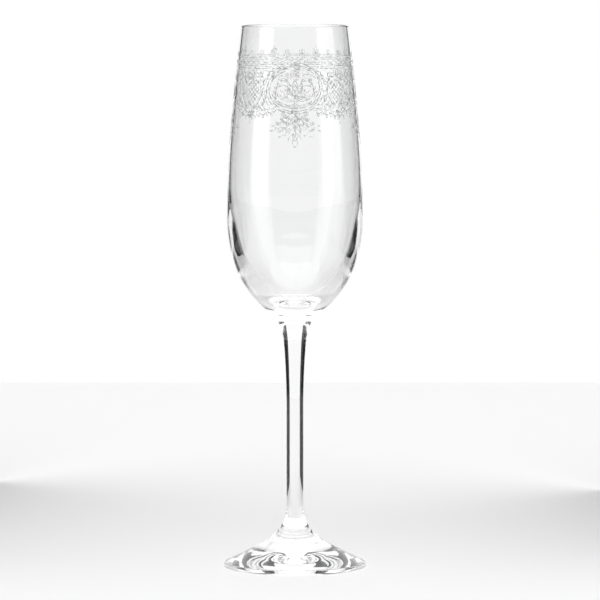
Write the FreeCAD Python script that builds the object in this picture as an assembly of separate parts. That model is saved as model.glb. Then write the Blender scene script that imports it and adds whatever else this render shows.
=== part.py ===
"""Champagne flute in clear crystal glass: a blown bowl, a drawn stem and a pressed foot.

The three pieces are turned shapes on one upright axis. They meet face to face at two
fused seams, as a stem is fused to its bowl and a foot to its stem. Sizes are in
millimetres. The origin is the middle of the base, with +Z up.
"""
import FreeCAD, Part
import math
import os

# Overall
HEIGHT = 225.0
FULL_TURN = 360.0

# Bowl, outside
BOWL_WIDEST_RADIUS = 28.1
BOWL_WIDEST_HEIGHT = 145.5
BOWL_SIDE_BEND = 417.0
BOWL_SIDE_TURN = 4.7
BOWL_BELLY_BEND = 62.6
BOWL_BELLY_TURN = 16.3
BOWL_SHOULDER_BEND = 41.5
BOWL_SHOULDER_TURN = 31.0
BOWL_BASE_ROUND = 0.6
RIM_RADIUS = 22.1

# Bowl, inside: a wall 0.8 to 1.1 mm thick down to the cavity's widest height, then thicker to the base
WALL_AT_RIM = 0.8
CAVITY_UPPER_RADIUS = 25.8
CAVITY_UPPER_HEIGHT = 180.0
CAVITY_WIDEST_RADIUS = 26.8
CAVITY_WIDEST_HEIGHT = 158.0
CAVITY_SIDE_BEND = 90.0
CAVITY_SIDE_TURN = 16.0
CAVITY_SHOULDER_BEND = 38.0
CAVITY_SHOULDER_TURN = 30.0

# Seam between bowl and stem. The stem's top is narrower than the bowl's base, so a groove shows round it.
BOWL_SEAM_HEIGHT = 105.6

# Stem: a straight shaft that flares into the bowl and into the foot
SHAFT_RADIUS = 3.5
SHAFT_TOP = 66.8
SHAFT_BOTTOM = 26.0
NECK_TAPER_BEND = 318.0
NECK_TAPER_TURN = 4.8
NECK_FLARE_BEND = 26.1
NECK_FLARE_TURN = 20.0
NECK_EDGE_RADIUS = 8.7
NECK_EDGE_HEIGHT = 104.95

# Seam between stem and foot
FOOT_SEAM_HEIGHT = 19.8

# Foot: a low cone with a rounded edge, hollowed underneath to a shallow cone, resting on a narrow ring
FOOT_FLARE_BEND = 17.4
FOOT_FLARE_TURN = 59.5
FOOT_CONE_RADIUS = 29.3
FOOT_CONE_HEIGHT = 2.25
FOOT_EDGE_TOP_ROUND = 0.45
FOOT_EDGE_BOTTOM_ROUND = 0.7
REST_RING_WIDTH = 0.8
UNDERSIDE_LIFT_BEND = 1.2
UNDERSIDE_SLOPE = 8.5
UNDERSIDE_PEAK_RADIUS = 10.0

UP = 90.0
DOWN = -90.0
HALF_TURN = 180.0


class Outline:
    """A run of edges in the radius-height plane, where each arc starts along the heading.

    The heading is an angle in degrees: 0 points away from the axis and 90 points up.
    """

    def __init__(self, radius, height, heading):
        self.radius = radius
        self.height = height
        self.heading = heading
        self.edges = []

    def point(self):
        return FreeCAD.Vector(self.radius, 0, self.height)

    def line_to(self, radius, height):
        """Straight run to a point."""
        start = self.point()
        self.radius = radius
        self.height = height
        self.edges.append(Part.LineSegment(start, self.point()).toShape())

    def run_down_to(self, height):
        """Straight run along the heading, down to a height."""
        fall = self.height - height
        self.line_to(self.radius - fall / math.tan(math.radians(self.heading)), height)

    def bend_to(self, radius, height):
        """Arc to a point, tangent to the heading."""
        start = self.point()
        run = radius - self.radius
        rise = height - self.height
        chord = math.hypot(run, rise)
        chord_angle = math.degrees(math.atan2(rise, run))
        half_turn = (chord_angle - self.heading + HALF_TURN) % FULL_TURN - HALF_TURN
        bulge = chord / 2 * math.tan(math.radians(half_turn) / 2)
        middle_radius = (self.radius + radius) / 2 + bulge * rise / chord
        middle_height = (self.height + height) / 2 - bulge * run / chord
        self.radius = radius
        self.height = height
        self.heading += 2 * half_turn
        middle = FreeCAD.Vector(middle_radius, 0, middle_height)
        self.edges.append(Part.Arc(start, middle, self.point()).toShape())

    def bend(self, bend_radius, turn):
        """Arc of a given radius. A positive turn is anticlockwise."""
        chord = 2 * bend_radius * math.sin(math.radians(abs(turn)) / 2)
        direction = math.radians(self.heading + turn / 2)
        radius = self.radius + chord * math.cos(direction)
        height = self.height + chord * math.sin(direction)
        self.bend_to(radius, height)

    def bend_to_axis(self):
        """Arc that meets the axis square, so the turned surface is smooth there."""
        chord_direction = math.radians((self.heading % FULL_TURN + HALF_TURN) / 2)
        self.bend_to(0, self.height - self.radius * math.tan(chord_direction))


def turned(edges):
    """Solid made by turning a closed outline about the axis."""
    ordered = Part.sortEdges(edges)[0]
    face = Part.Face(Part.Wire(ordered))
    axis_foot = FreeCAD.Vector(0, 0, 0)
    axis = FreeCAD.Vector(0, 0, 1)
    return face.revolve(axis_foot, axis, FULL_TURN)


def edge_on_axis(low, high):
    """Straight edge along the axis, which closes an outline."""
    return Part.LineSegment(FreeCAD.Vector(0, 0, low), FreeCAD.Vector(0, 0, high)).toShape()


def make_bowl():
    """Tall bowl with a rounded rim, and a base that is thicker than its wall."""
    rim_round = WALL_AT_RIM / 2
    outside_below = Outline(BOWL_WIDEST_RADIUS, BOWL_WIDEST_HEIGHT, DOWN)
    outside_below.bend(BOWL_BELLY_BEND, -BOWL_BELLY_TURN)
    outside_below.bend(BOWL_SHOULDER_BEND, -BOWL_SHOULDER_TURN)
    turn_to_flat = HALF_TURN + outside_below.heading
    round_fall = BOWL_BASE_ROUND * (1 - math.cos(math.radians(turn_to_flat)))
    outside_below.run_down_to(BOWL_SEAM_HEIGHT + round_fall)
    outside_below.bend(BOWL_BASE_ROUND, -turn_to_flat)
    outside_below.line_to(0, BOWL_SEAM_HEIGHT)

    outside_above = Outline(BOWL_WIDEST_RADIUS, BOWL_WIDEST_HEIGHT, UP)
    outside_above.bend(BOWL_SIDE_BEND, BOWL_SIDE_TURN)
    outside_above.bend_to(RIM_RADIUS, HEIGHT - rim_round)
    outside_above.bend(rim_round, HALF_TURN)

    inside_above = Outline(CAVITY_WIDEST_RADIUS, CAVITY_WIDEST_HEIGHT, UP)
    inside_above.bend_to(CAVITY_UPPER_RADIUS, CAVITY_UPPER_HEIGHT)
    inside_above.bend_to(outside_above.radius, outside_above.height)

    inside_below = Outline(CAVITY_WIDEST_RADIUS, CAVITY_WIDEST_HEIGHT, DOWN)
    inside_below.bend(CAVITY_SIDE_BEND, -CAVITY_SIDE_TURN)
    inside_below.bend(CAVITY_SHOULDER_BEND, -CAVITY_SHOULDER_TURN)
    inside_below.bend_to_axis()

    edges = outside_below.edges + outside_above.edges + inside_above.edges + inside_below.edges
    edges.append(edge_on_axis(BOWL_SEAM_HEIGHT, inside_below.height))
    return turned(edges)


def stem_foot_side():
    """Outer edge of the stem from the end of its shaft down to the foot seam."""
    side = Outline(SHAFT_RADIUS, SHAFT_BOTTOM, DOWN)
    drop = SHAFT_BOTTOM - FOOT_SEAM_HEIGHT
    turn_at_seam = math.degrees(math.asin(drop / FOOT_FLARE_BEND))
    side.bend(FOOT_FLARE_BEND, turn_at_seam)
    return side


def make_stem():
    """Round stem: a slim shaft, a neck that flares to the bowl and a start of the foot's flare."""
    above = Outline(SHAFT_RADIUS, SHAFT_TOP, UP)
    above.bend(NECK_TAPER_BEND, -NECK_TAPER_TURN)
    above.bend(NECK_FLARE_BEND, -NECK_FLARE_TURN)
    above.bend_to(NECK_EDGE_RADIUS, NECK_EDGE_HEIGHT)
    rise_left = BOWL_SEAM_HEIGHT - NECK_EDGE_HEIGHT
    edge_round = rise_left / (1 + math.cos(math.radians(above.heading)))
    above.bend(edge_round, HALF_TURN - above.heading)
    above.line_to(0, BOWL_SEAM_HEIGHT)

    shaft = Outline(SHAFT_RADIUS, SHAFT_TOP, DOWN)
    shaft.line_to(SHAFT_RADIUS, SHAFT_BOTTOM)

    below = stem_foot_side()
    below.line_to(0, FOOT_SEAM_HEIGHT)

    edges = above.edges + shaft.edges + below.edges
    edges.append(edge_on_axis(FOOT_SEAM_HEIGHT, BOWL_SEAM_HEIGHT))
    return turned(edges)


def make_foot():
    """Conical foot with a fire-polished edge and a shallow hollow underneath, rounded at its peak."""
    seam = stem_foot_side()
    side = Outline(seam.radius, seam.height, seam.heading)
    flare_left = FOOT_FLARE_TURN - (seam.heading - DOWN)
    side.bend(FOOT_FLARE_BEND, flare_left)
    side.bend_to(FOOT_CONE_RADIUS, FOOT_CONE_HEIGHT)
    edge_fall = side.heading - DOWN
    side.bend(FOOT_EDGE_TOP_ROUND, -edge_fall)
    side.line_to(side.radius, FOOT_EDGE_BOTTOM_ROUND)
    side.bend(FOOT_EDGE_BOTTOM_ROUND, -UP)
    side.line_to(side.radius - REST_RING_WIDTH, side.height)
    side.bend(UNDERSIDE_LIFT_BEND, -UNDERSIDE_SLOPE)
    hollow_run = side.radius - UNDERSIDE_PEAK_RADIUS
    hollow_rise = hollow_run * math.tan(math.radians(UNDERSIDE_SLOPE))
    side.line_to(UNDERSIDE_PEAK_RADIUS, side.height + hollow_rise)
    side.bend_to_axis()
    side.line_to(0, FOOT_SEAM_HEIGHT)
    side.line_to(seam.radius, seam.height)
    return turned(side.edges)


os.makedirs("parts", exist_ok=True)
PIECES = {"bowl": make_bowl, "stem": make_stem, "foot": make_foot}
for name, make in PIECES.items():
    solid = make()
    solid.exportStep("parts/" + name + ".step")
    box = solid.BoundBox
    print(name, "valid", solid.isValid(), "volume", round(solid.Volume, 1),
          "x", round(box.XMax, 3), "z", round(box.ZMin, 3), round(box.ZMax, 3))
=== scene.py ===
import bisect
import math

import bpy
import bmesh
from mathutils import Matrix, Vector


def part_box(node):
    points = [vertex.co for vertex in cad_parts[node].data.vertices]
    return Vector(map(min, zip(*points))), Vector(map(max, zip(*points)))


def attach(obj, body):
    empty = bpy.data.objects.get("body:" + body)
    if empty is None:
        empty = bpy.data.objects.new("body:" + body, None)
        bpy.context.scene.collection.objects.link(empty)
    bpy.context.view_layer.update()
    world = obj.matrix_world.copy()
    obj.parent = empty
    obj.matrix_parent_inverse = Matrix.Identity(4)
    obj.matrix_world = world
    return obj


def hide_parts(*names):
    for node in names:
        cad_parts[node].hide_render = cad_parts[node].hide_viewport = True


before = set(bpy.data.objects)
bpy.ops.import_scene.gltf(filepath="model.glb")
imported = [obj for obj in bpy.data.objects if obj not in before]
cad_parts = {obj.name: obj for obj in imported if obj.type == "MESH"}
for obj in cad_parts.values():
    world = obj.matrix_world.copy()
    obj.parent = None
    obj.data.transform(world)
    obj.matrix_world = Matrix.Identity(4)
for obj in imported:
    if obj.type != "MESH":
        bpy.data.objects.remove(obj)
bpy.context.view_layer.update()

# ---------------------------------------------------------------- sizes, in metres and degrees
BOWL_LOW, BOWL_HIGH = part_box("bowl")
STEM_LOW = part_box("stem")[0]

HEIGHT = BOWL_HIGH.z
BOWL_WIDEST_RADIUS = BOWL_HIGH.x
BOWL_WIDEST_HEIGHT = 0.1455
BOWL_SIDE_BEND = 0.417
BOWL_SIDE_TURN = 4.7
BOWL_BELLY_BEND = 0.0626
BOWL_BELLY_TURN = 16.3
BOWL_SHOULDER_BEND = 0.0415
BOWL_SHOULDER_TURN = 31.0
BOWL_BASE_ROUND = 0.0006
RIM_RADIUS = 0.0221
WALL_AT_RIM = 0.0008
CAVITY_UPPER_RADIUS = 0.0258
CAVITY_UPPER_HEIGHT = 0.180
CAVITY_WIDEST_RADIUS = 0.0268
CAVITY_WIDEST_HEIGHT = 0.158
CAVITY_SIDE_BEND = 0.090
CAVITY_SIDE_TURN = 16.0
CAVITY_SHOULDER_BEND = 0.038
CAVITY_SHOULDER_TURN = 30.0

BOWL_SEAM_HEIGHT = BOWL_LOW.z
SHAFT_RADIUS = 0.0035
SHAFT_TOP = 0.0668
SHAFT_BOTTOM = 0.026
NECK_TAPER_BEND = 0.318
NECK_TAPER_TURN = 4.8
NECK_FLARE_BEND = 0.0261
NECK_FLARE_TURN = 20.0
NECK_EDGE_RADIUS = 0.0087
NECK_EDGE_HEIGHT = 0.10495

FOOT_SEAM_HEIGHT = STEM_LOW.z
FOOT_FLARE_BEND = 0.0174
FOOT_FLARE_TURN = 59.5
FOOT_CONE_RADIUS = 0.0293
FOOT_CONE_HEIGHT = 0.00225
FOOT_EDGE_TOP_ROUND = 0.00045
FOOT_EDGE_BOTTOM_ROUND = 0.0007
REST_RING_WIDTH = 0.0008
UNDERSIDE_LIFT_BEND = 0.0012
UNDERSIDE_SLOPE = 8.5
UNDERSIDE_PEAK_RADIUS = 0.010

UP = 90.0
DOWN = -90.0
HALF_TURN = 180.0
FULL_TURN = 360.0

TURNED_SIDES = 240
RING_SPACING = 0.0007
FINE_SPACING = 0.0003
GLASS_INDEX = 1.52
SAME_INDEX = 1.0
GLASS_BOUNCES = 96

# Two faces at exactly one height hide each other, so the stem stops this much short of each seam.
SEAM_GAP = 0.00001

# Lengths below this count as zero.
TINY = 1e-7

# Edges that turn more sharply than this, in degrees, are shaded as creases.
GLASS_CREASE = 40
LACE_CREASE = 50

WHITE = (1.0, 1.0, 1.0, 1.0)
TINT = (0.985, 0.990, 0.989, 1.0)
TINT_SCALE = 18.0
TINT_DETAIL = 2.0

ETCH_GREY = (0.42, 0.43, 0.44, 1.0)
ETCH_GREY_UP_TO = 0.40
ETCH_WHITE_FROM = 0.60
ETCH_GRAIN_SCALE = 900.0
ETCH_GRAIN_DETAIL = 3.0
ETCH_ROUGHNESS = 0.05
ETCH_CLEARNESS = 0.62


# ---------------------------------------------------------------- outlines and turned meshes
class Outline:
    """A run of points in the radius-height plane, where each arc starts along the heading."""

    def __init__(self, radius, height, heading, spacing=RING_SPACING):
        self.radius = radius
        self.height = height
        self.heading = heading
        self.spacing = spacing
        self.points = [(radius, height)]

    def line_to(self, radius, height, steps=None):
        """Straight run to a point."""
        run = radius - self.radius
        rise = height - self.height
        if steps is None:
            steps = max(1, math.ceil(math.hypot(run, rise) / self.spacing))
        for step in range(1, steps + 1):
            share = step / steps
            self.points.append((self.radius + run * share, self.height + rise * share))
        self.radius = radius
        self.height = height

    def run_down_to(self, height):
        """Straight run along the heading, down to a height."""
        fall = self.height - height
        self.line_to(self.radius - fall / math.tan(math.radians(self.heading)), height)

    def bend(self, bend_radius, turn, fewest=4):
        """Arc of a given radius. A positive turn is anticlockwise."""
        side = math.copysign(1.0, turn)
        start = math.radians(self.heading) - side * math.pi / 2
        centre_radius = self.radius - bend_radius * math.cos(start)
        centre_height = self.height - bend_radius * math.sin(start)
        length = bend_radius * math.radians(abs(turn))
        steps = max(fewest, math.ceil(length / self.spacing))
        for step in range(1, steps + 1):
            angle = start + math.radians(turn) * step / steps
            self.points.append((centre_radius + bend_radius * math.cos(angle),
                                centre_height + bend_radius * math.sin(angle)))
        self.radius, self.height = self.points[-1]
        self.heading += turn

    def bend_to(self, radius, height):
        """Arc to a point, tangent to the heading."""
        run = radius - self.radius
        rise = height - self.height
        chord = math.hypot(run, rise)
        chord_angle = math.degrees(math.atan2(rise, run))
        half_turn = (chord_angle - self.heading + HALF_TURN) % FULL_TURN - HALF_TURN
        bend_radius = chord / (2 * abs(math.sin(math.radians(half_turn))))
        self.bend(bend_radius, 2 * half_turn)

    def bend_to_axis(self):
        """Arc that meets the axis square, so the turned surface is smooth there."""
        chord_direction = math.radians((self.heading % FULL_TURN + HALF_TURN) / 2)
        self.bend_to(0.0, self.height - self.radius * math.tan(chord_direction))


def within_seam(corners, seam):
    """True for a flat face that lies at a seam's height and inside its edge."""
    heights = [corner.co.z for corner in corners]
    reach = max(corner.co.xy.length for corner in corners)
    flat = max(heights) - min(heights) < TINY
    return flat and abs(heights[0] - seam.height) < 2 * SEAM_GAP and reach < seam.radius + 2 * SEAM_GAP


def turned_piece(name, points, materials, seams):
    """Closed mesh made by turning a run of points, which starts and ends on the axis.

    Flat faces within a seam, which is an outline that ends at the seam's edge, take the second material.
    """
    mesh = bmesh.new()
    rings = []
    for radius, height in points:
        if radius < TINY:
            rings.append([mesh.verts.new((0.0, 0.0, height))])
            continue
        circle = []
        for side in range(TURNED_SIDES):
            angle = 2 * math.pi * side / TURNED_SIDES
            circle.append(mesh.verts.new((radius * math.cos(angle), radius * math.sin(angle), height)))
        rings.append(circle)
    for low, high in zip(rings[:-1], rings[1:]):
        for side in range(TURNED_SIDES):
            after = (side + 1) % TURNED_SIDES
            corners = [low[side % len(low)], low[after % len(low)],
                       high[after % len(high)], high[side % len(high)]]
            corners = list(dict.fromkeys(corners))
            face = mesh.faces.new(corners)
            face.smooth = True
            if any(within_seam(corners, seam) for seam in seams):
                face.material_index = 1
    bmesh.ops.recalc_face_normals(mesh, faces=mesh.faces)
    data = bpy.data.meshes.new(name)
    mesh.to_mesh(data)
    mesh.free()
    data.set_sharp_from_angle(angle=math.radians(GLASS_CREASE))
    piece = bpy.data.objects.new(name, data)
    bpy.context.scene.collection.objects.link(piece)
    for material in materials:
        data.materials.append(material)
    return piece


# ---------------------------------------------------------------- materials
def new_material(name):
    """Material with one Principled shader, and that shader."""
    material = bpy.data.materials.new(name)
    material.use_nodes = True
    nodes = material.node_tree.nodes
    nodes.clear()
    output = nodes.new("ShaderNodeOutputMaterial")
    shader = nodes.new("ShaderNodeBsdfPrincipled")
    material.node_tree.links.new(shader.outputs["BSDF"], output.inputs["Surface"])
    return material, shader


def clear_glass(name, index):
    """Clear polished crystal, with a trace of tint that drifts slowly through the melt."""
    material, shader = new_material(name)
    nodes = material.node_tree.nodes
    links = material.node_tree.links
    place = nodes.new("ShaderNodeTexCoord")
    drift = nodes.new("ShaderNodeTexNoise")
    drift.inputs["Scale"].default_value = TINT_SCALE
    drift.inputs["Detail"].default_value = TINT_DETAIL
    tint = nodes.new("ShaderNodeValToRGB")
    tint.color_ramp.elements[0].color = TINT
    tint.color_ramp.elements[1].color = WHITE
    links.new(place.outputs["Object"], drift.inputs["Vector"])
    links.new(drift.outputs["Fac"], tint.inputs["Fac"])
    links.new(tint.outputs["Color"], shader.inputs["Base Color"])
    shader.inputs["Roughness"].default_value = 0.0
    shader.inputs["IOR"].default_value = index
    shader.inputs["Transmission Weight"].default_value = 1.0
    return material


# ---------------------------------------------------------------- the three glass pieces
def bowl_outside_above():
    """Outer edge of the bowl from its widest place up to the rim."""
    above = Outline(BOWL_WIDEST_RADIUS, BOWL_WIDEST_HEIGHT, UP)
    above.bend(BOWL_SIDE_BEND, BOWL_SIDE_TURN)
    above.bend_to(RIM_RADIUS, HEIGHT - WALL_AT_RIM / 2)
    return above


def bowl_points():
    """Outline of the bowl, from the middle of its base round the rim to the cavity floor."""
    below = Outline(BOWL_WIDEST_RADIUS, BOWL_WIDEST_HEIGHT, DOWN)
    below.bend(BOWL_BELLY_BEND, -BOWL_BELLY_TURN)
    below.bend(BOWL_SHOULDER_BEND, -BOWL_SHOULDER_TURN)
    below.spacing = FINE_SPACING
    turn_to_flat = HALF_TURN + below.heading
    round_fall = BOWL_BASE_ROUND * (1 - math.cos(math.radians(turn_to_flat)))
    below.run_down_to(BOWL_SEAM_HEIGHT + round_fall)
    below.bend(BOWL_BASE_ROUND, -turn_to_flat, fewest=8)
    below.line_to(stem_neck().radius, BOWL_SEAM_HEIGHT, steps=2)
    below.line_to(0.0, BOWL_SEAM_HEIGHT, steps=4)

    above = bowl_outside_above()
    above.bend(WALL_AT_RIM / 2, HALF_TURN, fewest=12)

    inside_above = Outline(CAVITY_WIDEST_RADIUS, CAVITY_WIDEST_HEIGHT, UP)
    inside_above.bend_to(CAVITY_UPPER_RADIUS, CAVITY_UPPER_HEIGHT)
    inside_above.bend_to(above.radius, above.height)

    inside_below = Outline(CAVITY_WIDEST_RADIUS, CAVITY_WIDEST_HEIGHT, DOWN)
    inside_below.bend(CAVITY_SIDE_BEND, -CAVITY_SIDE_TURN)
    inside_below.bend(CAVITY_SHOULDER_BEND, -CAVITY_SHOULDER_TURN)
    inside_below.bend_to_axis()

    return below.points[::-1] + above.points[1:] + inside_above.points[-2::-1] + inside_below.points[1:]


def stem_foot_side(gap=0.0):
    """Outer edge of the stem from the end of its shaft down to the foot seam."""
    side = Outline(SHAFT_RADIUS, SHAFT_BOTTOM, DOWN, FINE_SPACING)
    drop = SHAFT_BOTTOM - FOOT_SEAM_HEIGHT - gap
    side.bend(FOOT_FLARE_BEND, math.degrees(math.asin(drop / FOOT_FLARE_BEND)))
    return side


def stem_neck(gap=0.0):
    """Outer edge of the stem from the top of its shaft up to the bowl seam, round a rounded edge."""
    side = Outline(SHAFT_RADIUS, SHAFT_TOP, UP)
    side.bend(NECK_TAPER_BEND, -NECK_TAPER_TURN)
    side.spacing = FINE_SPACING
    side.bend(NECK_FLARE_BEND, -NECK_FLARE_TURN)
    side.bend_to(NECK_EDGE_RADIUS, NECK_EDGE_HEIGHT)
    rise_left = BOWL_SEAM_HEIGHT - gap - NECK_EDGE_HEIGHT
    edge_round = rise_left / (1 + math.cos(math.radians(side.heading)))
    side.bend(edge_round, HALF_TURN - side.heading, fewest=10)
    return side


def stem_points():
    """Outline of the stem, from the foot seam up to the bowl seam."""
    above = stem_neck(SEAM_GAP)
    above.line_to(0.0, above.height, steps=4)
    shaft = Outline(SHAFT_RADIUS, SHAFT_BOTTOM, UP)
    shaft.line_to(SHAFT_RADIUS, SHAFT_TOP)
    below = stem_foot_side(SEAM_GAP)
    below.line_to(0.0, below.height, steps=3)
    return below.points[::-1] + shaft.points[1:] + above.points[1:]


def foot_points():
    """Outline of the foot, from its seam round the edge to the peak of the hollow."""
    seam = stem_foot_side()
    side = Outline(seam.radius, seam.height, seam.heading, FINE_SPACING)
    side.bend(FOOT_FLARE_BEND, FOOT_FLARE_TURN - (seam.heading - DOWN))
    side.bend_to(FOOT_CONE_RADIUS, FOOT_CONE_HEIGHT)
    side.bend(FOOT_EDGE_TOP_ROUND, DOWN - side.heading, fewest=8)
    side.line_to(side.radius, FOOT_EDGE_BOTTOM_ROUND, steps=3)
    side.bend(FOOT_EDGE_BOTTOM_ROUND, -UP, fewest=10)
    side.line_to(side.radius - REST_RING_WIDTH, side.height, steps=3)
    side.bend(UNDERSIDE_LIFT_BEND, -UNDERSIDE_SLOPE, fewest=6)
    rise = (side.radius - UNDERSIDE_PEAK_RADIUS) * math.tan(math.radians(UNDERSIDE_SLOPE))
    side.line_to(UNDERSIDE_PEAK_RADIUS, side.height + rise)
    side.bend_to_axis()
    seam_disc = Outline(seam.radius, seam.height, seam.heading)
    seam_disc.line_to(0.0, FOOT_SEAM_HEIGHT, steps=3)
    return seam_disc.points[::-1] + side.points[1:]


def make_glass():
    """The three glass pieces. Light bent by glass isn't traced into shadows, so they cast none."""
    glass = clear_glass("crystal glass", GLASS_INDEX)
    fused = clear_glass("fused seam", SAME_INDEX)
    top_seam = stem_neck()
    low_seam = stem_foot_side()
    seams = {"bowl": [top_seam], "stem": [top_seam, low_seam], "foot": [low_seam]}
    outlines = {"bowl": bowl_points(), "stem": stem_points(), "foot": foot_points()}
    for node, points in outlines.items():
        piece = turned_piece(node + "_glass", points, [glass, fused], seams[node])
        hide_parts(node)
        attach(piece, "root")
        piece.visible_shadow = False


# ---------------------------------------------------------------- etched lace
# Pattern sizes are in millimetres: sideways from the middle of a motif, and up from the base.
MILLIMETRE = 0.001
LACE_RADIUS = 25.0
LACE_REPEATS = 4
REPEAT_WIDTH = 2 * math.pi * LACE_RADIUS / LACE_REPEATS
STROKE_SPACING = 0.33
RELIEF_HEIGHT = 0.11
RELIEF_LIFT = 0.01
RELIEF_SECTION = ((-0.5, 0.0), (-0.28, 0.75), (0.0, 1.0), (0.28, 0.75), (0.5, 0.0))
BOLD = 0.44
PLAIN = 0.32
FINE = 0.24
OVAL_STEPS = 36
BOW_STEPS = 10
SMOOTH_STEPS = 6
END_TAPER = 0.5
TAPER_POWER = 8


def polar(centre, distance, angle):
    """Point at a distance and angle in degrees from a centre."""
    turn = math.radians(angle)
    return centre[0] + distance * math.cos(turn), centre[1] + distance * math.sin(turn)


def ring(centre, radius, stretch=1.0):
    """Points round an oval, whose height is the stretch times its width."""
    points = []
    for step in range(OVAL_STEPS + 1):
        turn = math.radians(FULL_TURN * step / OVAL_STEPS)
        points.append((centre[0] + radius * math.cos(turn), centre[1] + radius * stretch * math.sin(turn)))
    return points


def bow(start, end, rise):
    """Shallow curve between two points that bulges to the left of its direction by the rise."""
    run_x = end[0] - start[0]
    run_y = end[1] - start[1]
    length = math.hypot(run_x, run_y)
    points = []
    for step in range(BOW_STEPS + 1):
        share = step / BOW_STEPS
        bulge = rise * 4 * share * (1 - share) / length
        points.append((start[0] + run_x * share - run_y * bulge, start[1] + run_y * share + run_x * bulge))
    return points


def leaf(root, tip, width):
    """Closed pointed loop."""
    return bow(root, tip, width / 2) + bow(tip, root, width / 2)[1:]


def scroll(start, heading, length, first_turn, last_turn):
    """Curve that winds up as it goes; its turn per millimetre changes evenly from first to last."""
    steps = max(8, math.ceil(length / STROKE_SPACING))
    points = [start]
    for step in range(steps):
        heading += (first_turn + (last_turn - first_turn) * step / steps) * length / steps
        points.append(polar(points[-1], length / steps, heading))
    return points


def smooth_curve(points):
    """Curve through every one of the points."""
    padded = [points[0]] + points + [points[-1]]
    curve = [points[0]]
    for before, start, end, after in zip(padded, padded[1:], padded[2:], padded[3:]):
        for step in range(1, SMOOTH_STEPS + 1):
            t = step / SMOOTH_STEPS
            weights = (-t + 2 * t * t - t ** 3, 2 - 5 * t * t + 3 * t ** 3,
                       t + 4 * t * t - 3 * t ** 3, t ** 3 - t * t)
            corners = (before, start, end, after)
            curve.append(tuple(sum(w * c[axis] for w, c in zip(weights, corners)) / 2 for axis in (0, 1)))
    return curve


def mirrored(strokes):
    """The strokes and their mirror images across the middle of the motif."""
    return strokes + [([(-x, y) for x, y in points], width) for points, width in strokes]


def moved(strokes, sideways):
    """The strokes shifted sideways."""
    return [([(x + sideways, y) for x, y in points], width) for points, width in strokes]


def sprig(stem, leaf_length, leaf_width, pairs, spread=50.0):
    """A stem with pairs of leaves along it and one at its tip. The leaves shrink towards the tip."""
    strokes = [(stem, FINE)]
    for pair in range(pairs):
        share = (pair + 0.6) / (pairs + 0.3)
        index = int(share * (len(stem) - 2))
        root = stem[index]
        ahead = stem[index + 1]
        heading = math.degrees(math.atan2(ahead[1] - root[1], ahead[0] - root[0]))
        size = 1 - 0.45 * share
        for side in (-spread, spread):
            tip = polar(root, leaf_length * size, heading + side)
            strokes.append((leaf(root, tip, leaf_width * size), FINE))
    end = stem[-1]
    heading = math.degrees(math.atan2(end[1] - stem[-2][1], end[0] - stem[-2][0]))
    strokes.append((leaf(end, polar(end, leaf_length * 0.7, heading), leaf_width * 0.7), FINE))
    return strokes


def flower(centre, radius, petals):
    """Small open flower: an eye with petals round it."""
    strokes = [(ring(centre, radius * 0.25), FINE)]
    for petal in range(petals):
        angle = 90 + 360 * petal / petals
        root = polar(centre, radius * 0.35, angle)
        strokes.append((leaf(root, polar(centre, radius, angle), radius * 0.62), FINE))
    return strokes


BORDER_LINES = ((212.2, PLAIN), (211.5, FINE), (208.7, FINE), (207.9, BOLD))
BORDER_MIDDLE = 210.1
BORDER_OVALS = 12
BORDER_FLORETS = 6


def border_strokes():
    """Narrow band of lines and ovals, with florets standing on it."""
    strokes = []
    half = REPEAT_WIDTH / 2
    for height, width in BORDER_LINES:
        strokes.append(([(-half, height), (half, height)], width))
    for oval in range(BORDER_OVALS):
        middle = -half + REPEAT_WIDTH * (oval + 0.5) / BORDER_OVALS
        strokes.append((ring((middle, BORDER_MIDDLE), 1.0, stretch=0.8), FINE))
        gap = middle + REPEAT_WIDTH / BORDER_OVALS / 2
        strokes.append(([(gap, 209.5), (gap, 210.7)], PLAIN))
    for floret in range(BORDER_FLORETS):
        middle = -half + REPEAT_WIDTH * (floret + 0.5) / BORDER_FLORETS
        strokes += moved(standing_floret(tall=floret % 3 == 1), middle)
    return strokes


def standing_floret(tall):
    """Leaf between two scrolls, which stands on the border."""
    reach = 3.4 if tall else 1.9
    root = (0.0, 212.4)
    middle = [(leaf(root, (0.0, root[1] + reach), reach * 0.34), FINE)]
    side = [(scroll((0.3, 212.5), 25, reach * 1.1, 10, 120), FINE)]
    return middle + mirrored(side)


MEDALLION_MIDDLE = (0.0, 199.0)
MEDALLION_WIDE = 12.0
MEDALLION_TALL = 9.4


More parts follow.
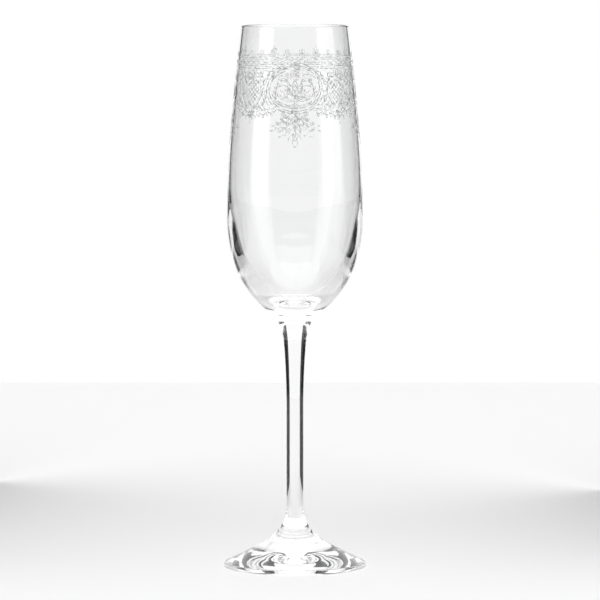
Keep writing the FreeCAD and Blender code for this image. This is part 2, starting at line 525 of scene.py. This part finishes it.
def medallion_strokes():
    """Oval frame of two rings that holds a fan of leaves between two scrolls."""
    shape = MEDALLION_TALL / MEDALLION_WIDE
    strokes = [(ring(MEDALLION_MIDDLE, MEDALLION_WIDE, stretch=shape), BOLD),
               (ring(MEDALLION_MIDDLE, MEDALLION_WIDE - 1.15, stretch=shape), BOLD)]
    root = (0.0, 194.6)
    strokes.append((leaf(root, (0.0, 201.6), 2.3), PLAIN))
    strokes.append(([(0.0, 196.0), (0.0, 200.2)], FINE))
    strokes += flower((0.0, 204.6), 2.1, 6)
    strokes += flower((0.0, 192.6), 1.5, 5)
    side = []
    for angle, reach in ((60, 6.2), (32, 5.2)):
        tip = polar(root, reach, angle)
        side.append((leaf(root, tip, reach * 0.3), PLAIN))
        side.append(([polar(root, reach * 0.3, angle), polar(root, reach * 0.7, angle)], FINE))
    vine = scroll((1.4, 192.4), -2, 25.0, 5.2, 29)
    side.append((vine, PLAIN))
    side += sprig(scroll((2.2, 202.2), 52, 6.2, -6, -38), 1.6, 0.7, 2)
    for share, turn, reach in ((0.12, 44, 1.7), (0.26, -48, 1.5), (0.38, -46, 1.5), (0.5, -44, 1.5)):
        index = int(share * len(vine))
        spot = vine[index]
        ahead = vine[index + 1]
        heading = math.degrees(math.atan2(ahead[1] - spot[1], ahead[0] - spot[0]))
        side.append((leaf(spot, polar(spot, reach, heading + turn), 0.75), FINE))
    return strokes + mirrored(side)


SHIELD_EDGE = [(0.0, 189.6), (1.6, 191.3), (3.5, 193.6), (5.0, 196.4), (5.5, 199.2), (4.7, 201.6),
               (2.7, 202.7), (1.0, 203.1), (0.0, 204.2)]


# The lattice is drawn as dots up each line from its lowest height, and keeps the dots inside the shield.
LATTICE_LOW = 188.0
LATTICE_MIDDLE = 197.0
LATTICE_DOT_RISE = 0.2
LATTICE_DOTS = 100
LATTICE_SPACING = 2.0
LATTICE_INSET = 1.3
LATTICE_REACH = 8
FEWEST_DOTS = 4


def shield_half_width(height):
    """Half of the shield's width at a height, or 0 above and below it."""
    for low, high in zip(SHIELD_EDGE, SHIELD_EDGE[1:]):
        if low[1] <= height <= high[1]:
            return low[0] + (high[0] - low[0]) * (height - low[1]) / (high[1] - low[1])
    return 0.0


def lattice_strokes():
    """Crossed slanting lines that stop inside the shield's edge."""
    strokes = []
    for slant in (-1, 1):
        for line in range(-LATTICE_REACH, LATTICE_REACH + 1):
            inside = []
            for step in range(LATTICE_DOTS):
                height = LATTICE_LOW + LATTICE_DOT_RISE * step
                x = (height - LATTICE_MIDDLE) * slant + line * LATTICE_SPACING
                if abs(x) < shield_half_width(height) - LATTICE_INSET:
                    inside.append((x, height))
            if len(inside) >= FEWEST_DOTS:
                strokes.append((inside, FINE))
    return strokes


def shield_strokes():
    """Pointed shield filled with a lattice, under a crest of scrolls."""
    edge = smooth_curve(SHIELD_EDGE)
    inner = [(x - 0.8, y + 0.25) for x, y in edge if x > 0.9]
    side = [(edge, BOLD), (inner, FINE),
            (scroll((0.6, 203.9), 30, 7.5, -2, -70), PLAIN),
            (scroll((0.5, 204.9), 60, 6.0, -12, -95), FINE),
            (scroll((5.3, 200.2), 75, 6.0, 4, 85), PLAIN)]
    side += sprig(bow((2.4, 190.8), (6.6, 194.4), -0.5), 1.6, 0.7, 3)
    strokes = lattice_strokes() + mirrored(side)
    strokes.append((leaf((0.0, 204.3), (0.0, 207.4), 1.3), PLAIN))
    return moved(strokes, REPEAT_WIDTH / 2)


def scroll_strokes():
    """Scrolls and leaves in the corners between a medallion and a shield, and the scalloped lower edge."""
    top = [(scroll((8.6, 207.3), -14, 11.0, -3, -66), PLAIN),
           (scroll((13.4, 207.0), 175, 4.5, 5, 85), FINE),
           (leaf((12.2, 204.0), (13.6, 200.8), 1.1), PLAIN),
           (leaf((14.8, 206.6), (15.4, 203.8), 1.1), FINE)]
    low = [(scroll((9.0, 191.8), -28, 10.5, 4, 68), PLAIN),
           (scroll((14.0, 190.6), 160, 4.5, -5, -85), FINE),
           (leaf((12.4, 194.2), (13.6, 197.4), 1.1), PLAIN)]
    edge = []
    scallop_ends = [(7.6, 191.2), (11.3, 190.4), (15.2, 189.9), (19.0, 189.2)]
    for start, end in zip(scallop_ends, scallop_ends[1:]):
        edge.append((bow(start, end, -1.1), PLAIN))
        middle = ((start[0] + end[0]) / 2, (start[1] + end[1]) / 2 - 1.2)
        edge.append((leaf(middle, (middle[0], middle[1] - 1.3), 0.8), FINE))
        edge.append((leaf(end, (end[0], end[1] - 1.9), 0.8), FINE))
    return mirrored(top + low + edge)


def pendant_strokes():
    """Bouquet that hangs under each medallion, and a small drop under each shield."""
    middle = sprig([(0.0, 189.4), (0.0, 186.8), (0.0, 184.2), (0.0, 181.6)], 2.6, 1.0, 3, 42)
    middle.append((leaf((0.0, 180.0), (0.0, 175.8), 1.9), PLAIN))
    middle.append((bow((0.0, 181.6), (2.6, 178.4), 0.7), FINE))
    middle.append((bow((0.0, 181.6), (-2.6, 178.4), -0.7), FINE))
    side = sprig(scroll((0.3, 188.6), -36, 10.5, -4, 9), 2.2, 0.9, 4)
    side += sprig(scroll((0.4, 186.6), -58, 8.4, -3, 12), 1.9, 0.8, 3)
    side += flower((4.6, 187.3), 1.3, 5)
    drop = sprig([(0.0, 189.2), (0.0, 187.8), (0.0, 186.2)], 1.5, 0.6, 2, 45)
    return middle + mirrored(side) + moved(drop, REPEAT_WIDTH / 2)


def evenly_spaced(points):
    """The same line with its points close together and evenly spread."""
    lengths = [0.0]
    for start, end in zip(points, points[1:]):
        lengths.append(lengths[-1] + math.dist(start, end))
    steps = max(2, math.ceil(lengths[-1] / STROKE_SPACING))
    even = []
    for step in range(steps + 1):
        reach = lengths[-1] * step / steps
        index = min(bisect.bisect_right(lengths, reach), len(points) - 1)
        share = (reach - lengths[index - 1]) / (lengths[index] - lengths[index - 1])
        start = points[index - 1]
        end = points[index]
        even.append((start[0] + (end[0] - start[0]) * share, start[1] + (end[1] - start[1]) * share))
    return even


class Relief:
    """Mesh of rounded ridges that lie on the outside of the bowl."""

    def __init__(self, side_points):
        self.heights = [height for radius, height in side_points]
        self.radii = [radius for radius, height in side_points]
        self.vertices = []
        self.faces = []

    def on_bowl(self, sideways, height, lift, turn):
        """Place of a pattern point, lifted off the glass."""
        height *= MILLIMETRE
        lift *= MILLIMETRE
        index = bisect.bisect_left(self.heights, height)
        rise = self.heights[index] - self.heights[index - 1]
        run = self.radii[index] - self.radii[index - 1]
        radius = self.radii[index - 1] + run * (height - self.heights[index - 1]) / rise
        length = math.hypot(rise, run)
        radius += lift * rise / length
        height -= lift * run / length
        angle = turn + sideways / LACE_RADIUS
        return radius * math.cos(angle), radius * math.sin(angle), height

    def add(self, points, width, turn):
        """One ridge along a line of points. Its ends taper."""
        points = evenly_spaced(points)
        last = len(points) - 1
        size = len(RELIEF_SECTION)
        first = len(self.vertices)
        for index, point in enumerate(points):
            before = points[max(index - 1, 0)]
            after = points[min(index + 1, last)]
            length = math.dist(before, after)
            across_x = -(after[1] - before[1]) / length
            across_y = (after[0] - before[0]) / length
            taper = 1 - END_TAPER * abs(2 * index / last - 1) ** TAPER_POWER
            for across, up in RELIEF_SECTION:
                offset = across * width * taper
                lift = RELIEF_LIFT + up * RELIEF_HEIGHT * taper * min(1.0, width / PLAIN)
                self.vertices.append(self.on_bowl(point[0] + across_x * offset,
                                                  point[1] + across_y * offset, lift, turn))
        for index in range(last):
            start = first + index * size
            for side in range(size):
                after = (side + 1) % size
                self.faces.append((start + side, start + size + side, start + size + after, start + after))
        self.faces.append(tuple(range(first, first + size)))
        end = first + last * size
        self.faces.append(tuple(reversed(range(end, end + size))))

    def finish(self, name, material):
        """Object made from the ridges so far."""
        data = bpy.data.meshes.new(name)
        data.from_pydata(self.vertices, [], self.faces)
        mesh = bmesh.new()
        mesh.from_mesh(data)
        bmesh.ops.recalc_face_normals(mesh, faces=mesh.faces)
        mesh.to_mesh(data)
        mesh.free()
        data.materials.append(material)
        data.shade_smooth()
        data.set_sharp_from_angle(angle=math.radians(LACE_CREASE))
        piece = bpy.data.objects.new(name, data)
        bpy.context.scene.collection.objects.link(piece)
        return piece


def etched_glass():
    """Surface of the etched lines: nearly smooth, partly clear, and mottled from grey to white."""
    material, shader = new_material("etched crystal")
    nodes = material.node_tree.nodes
    links = material.node_tree.links
    place = nodes.new("ShaderNodeTexCoord")
    grain = nodes.new("ShaderNodeTexNoise")
    grain.inputs["Scale"].default_value = ETCH_GRAIN_SCALE
    grain.inputs["Detail"].default_value = ETCH_GRAIN_DETAIL
    tone = nodes.new("ShaderNodeValToRGB")
    tone.color_ramp.elements[0].color = ETCH_GREY
    tone.color_ramp.elements[1].color = WHITE
    tone.color_ramp.elements[0].position = ETCH_GREY_UP_TO
    tone.color_ramp.elements[1].position = ETCH_WHITE_FROM
    links.new(place.outputs["Object"], grain.inputs["Vector"])
    links.new(grain.outputs["Fac"], tone.inputs["Fac"])
    links.new(tone.outputs["Color"], shader.inputs["Base Color"])
    shader.inputs["Roughness"].default_value = ETCH_ROUGHNESS
    shader.inputs["IOR"].default_value = GLASS_INDEX
    shader.inputs["Transmission Weight"].default_value = ETCH_CLEARNESS
    return material


def make_lace():
    """One relief mesh for each part of the pattern, repeated round the bowl. It casts no shadow either."""
    patterns = {"lace_border": border_strokes(), "lace_medallions": medallion_strokes(),
                "lace_shields": shield_strokes(), "lace_scrolls": scroll_strokes(),
                "lace_pendants": pendant_strokes()}
    material = etched_glass()
    side_points = bowl_outside_above().points
    for name, strokes in patterns.items():
        relief = Relief(side_points)
        for repeat in range(LACE_REPEATS):
            turn = -math.pi / 2 + 2 * math.pi * repeat / LACE_REPEATS
            for points, width in strokes:
                relief.add(points, width, turn)
        piece = relief.finish(name, material)
        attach(piece, "root")
        piece.visible_shadow = False


# ---------------------------------------------------------------- studio
CAMERA_PLACE = Vector((0.0021, -2.151, 0.283))
CAMERA_PITCH = 4.566
LENS = 312.4
SENSOR = 36.0
NEAREST_SEEN = 0.1
FARTHEST_SEEN = 60.0

ROOM = 0.07
BACKDROP_LIGHT = 1.0
BACKDROP_DISTANCE = 0.8
BACKDROP_HALF_WIDTH = 1.2
BACKDROP_LOW = -0.2
BACKDROP_HIGH = 1.2
CARD_LIGHT = 0.02
CARD_HIGH = 0.3
SOFTBOX_LIGHT = 1.2
SOFTBOX_HIGH = 0.6
OVERHEAD_WATTS = 33
OVERHEAD_WIDTH = 2.6
OVERHEAD_PLACE = (0.0, -0.3, 1.3)

# Each end of a panel: its distance from the glass in metres, and its bearing in degrees.
CARDS = {"left_card": ((0.34, -25), (0.29, -84)), "right_card": ((0.31, 28), (0.26, 85))}
SOFTBOXES = {"left_softbox": ((0.29, -102), (0.39, -134)), "right_softbox": ((0.255, 92), (0.35, 133))}

FLOOR_TONE = 0.9
FLOOR_REACH = 12.0


def make_camera():
    """Long lens that looks slightly down on the glass."""
    data = bpy.data.cameras.new("camera")
    data.lens = LENS
    data.sensor_width = SENSOR
    data.clip_start = NEAREST_SEEN
    data.clip_end = FARTHEST_SEEN
    camera = bpy.data.objects.new("camera", data)
    camera.location = CAMERA_PLACE
    camera.rotation_euler = (math.radians(90 - CAMERA_PITCH), 0.0, 0.0)
    bpy.context.scene.collection.objects.link(camera)
    bpy.context.scene.camera = camera
    return camera


def glow(name, strength):
    """Evenly glowing material."""
    material = bpy.data.materials.new(name)
    material.use_nodes = True
    nodes = material.node_tree.nodes
    nodes.clear()
    output = nodes.new("ShaderNodeOutputMaterial")
    light = nodes.new("ShaderNodeEmission")
    light.inputs["Strength"].default_value = strength
    material.node_tree.links.new(light.outputs["Emission"], output.inputs["Surface"])
    return material


def bearing(distance, angle):
    """Place on the floor plan: the angle is in degrees from straight behind the glass, positive right."""
    turn = math.radians(angle)
    return distance * math.sin(turn), distance * math.cos(turn)


def ride_with_camera(thing, camera):
    """Keeps a thing's place relative to the camera, so it turns and tilts with the view."""
    bpy.context.view_layer.update()
    thing.parent = camera
    thing.matrix_parent_inverse = camera.matrix_world.inverted()


def panel(name, start, end, low, high, material, camera):
    """Upright panel over the line from start to end, both (x, y)."""
    corners = [(*start, low), (*end, low), (*end, high), (*start, high)]
    data = bpy.data.meshes.new(name)
    data.from_pydata(corners, [], [(0, 1, 2, 3)])
    data.materials.append(material)
    thing = bpy.data.objects.new(name, data)
    bpy.context.scene.collection.objects.link(thing)
    ride_with_camera(thing, camera)


def make_panels(camera):
    """White backdrop, and a dark card and a softbox at either side, outside the picture."""
    left = (-BACKDROP_HALF_WIDTH, BACKDROP_DISTANCE)
    right = (BACKDROP_HALF_WIDTH, BACKDROP_DISTANCE)
    white = glow("backdrop", BACKDROP_LIGHT)
    panel("backdrop", left, right, BACKDROP_LOW, BACKDROP_HIGH, white, camera)
    dark = glow("dark_card", CARD_LIGHT)
    for name, (start, end) in CARDS.items():
        panel(name, bearing(*start), bearing(*end), 0.0, CARD_HIGH, dark, camera)
    soft = glow("softbox", SOFTBOX_LIGHT)
    for name, (start, end) in SOFTBOXES.items():
        panel(name, bearing(*start), bearing(*end), 0.0, SOFTBOX_HIGH, soft, camera)


def make_overhead_light(camera):
    """Large soft lamp over the glass."""
    data = bpy.data.lights.new("overhead_light", "AREA")
    data.shape = "SQUARE"
    data.size = OVERHEAD_WIDTH
    data.energy = OVERHEAD_WATTS
    lamp = bpy.data.objects.new("overhead_light", data)
    lamp.location = OVERHEAD_PLACE
    bpy.context.scene.collection.objects.link(lamp)
    ride_with_camera(lamp, camera)


def make_world():
    """Dim, even room."""
    world = bpy.data.worlds.new("studio")
    bpy.context.scene.world = world
    world.use_nodes = True
    world.node_tree.nodes["Background"].inputs["Color"].default_value = (ROOM, ROOM, ROOM, 1)


def make_floor():
    """Plain pale matt floor."""
    material, shader = new_material("pale_floor")
    shader.inputs["Base Color"].default_value = (FLOOR_TONE, FLOOR_TONE, FLOOR_TONE, 1)
    shader.inputs["Roughness"].default_value = 1.0
    shader.inputs["Specular IOR Level"].default_value = 0.0
    data = bpy.data.meshes.new("floor")
    reach = FLOOR_REACH
    corners = [(-reach, -reach, 0), (reach, -reach, 0), (reach, reach, 0), (-reach, reach, 0)]
    data.from_pydata(corners, [], [(0, 1, 2, 3)])
    data.materials.append(material)
    floor = bpy.data.objects.new("floor", data)
    bpy.context.scene.collection.objects.link(floor)


def make_studio():
    camera = make_camera()
    make_world()
    make_floor()
    make_panels(camera)
    make_overhead_light(camera)


# ---------------------------------------------------------------- build
bpy.context.scene.view_settings.view_transform = "Standard"
for limit in ("max_bounces", "transmission_bounces", "glossy_bounces"):
    setattr(bpy.context.scene.cycles, limit, GLASS_BOUNCES)
make_glass()
make_lace()
make_studio()
